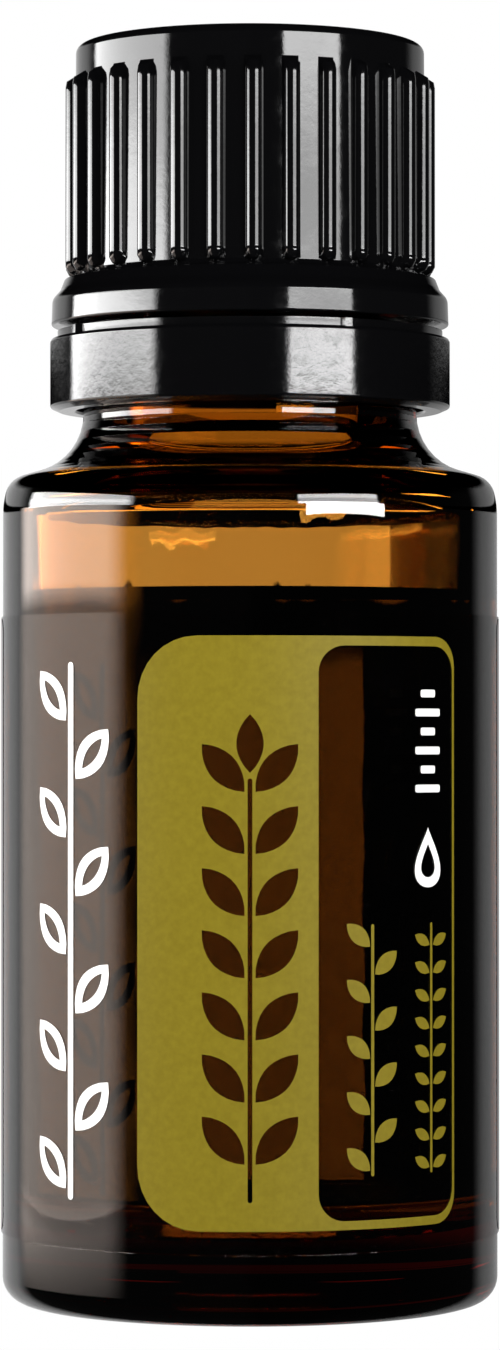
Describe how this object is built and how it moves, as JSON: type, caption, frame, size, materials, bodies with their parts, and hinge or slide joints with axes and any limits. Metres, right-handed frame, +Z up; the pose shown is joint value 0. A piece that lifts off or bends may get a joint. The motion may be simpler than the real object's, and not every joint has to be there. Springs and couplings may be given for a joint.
{
  "type": "essential oil bottle",
  "caption": "Amber glass dropper bottle with a ribbed screw cap, tamper band, clear wrap label and oil filling.",
  "frame": {"origin": "on the bottle's axis, at the plane it stands on", "axes": "+Z up along the bottle's axis, -Y towards the middle of the printed front"},
  "size_m": [0.0286, 0.0286, 0.0719],
  "materials": {
    "amber_glass": "gloss",
    "essential_oil": "clear liquid",
    "black_plastic": "gloss, moulded",
    "natural_plastic": "satin, translucent",
    "printed_film": "clear film with matte olive print"
  },
  "bodies": {
    "glass": {"bottle": "amber_glass", "oil": "essential_oil", "dropper_insert": "natural_plastic", "label": "printed_film"},
    "band": {"tamper_band": "black_plastic"},
    "cap": {"cap": "black_plastic"}
  },
  "joints": [
    {"name": "cap_turn", "type": "hinge", "parent": "glass", "child": "band", "pos_m": [0, 0, 0.0558], "axis": [0, 0, 1], "range_deg": [0, 480]},
    {"name": "cap_rise", "type": "slide", "parent": "band", "child": "cap", "axis": [0, 0, 1], "range_m": [0, 0.004]}
  ],
  "couplings": [
    {"joint": "cap_turn", "follows": "cap_rise", "rad_per_m": 2094.4}
  ]
}
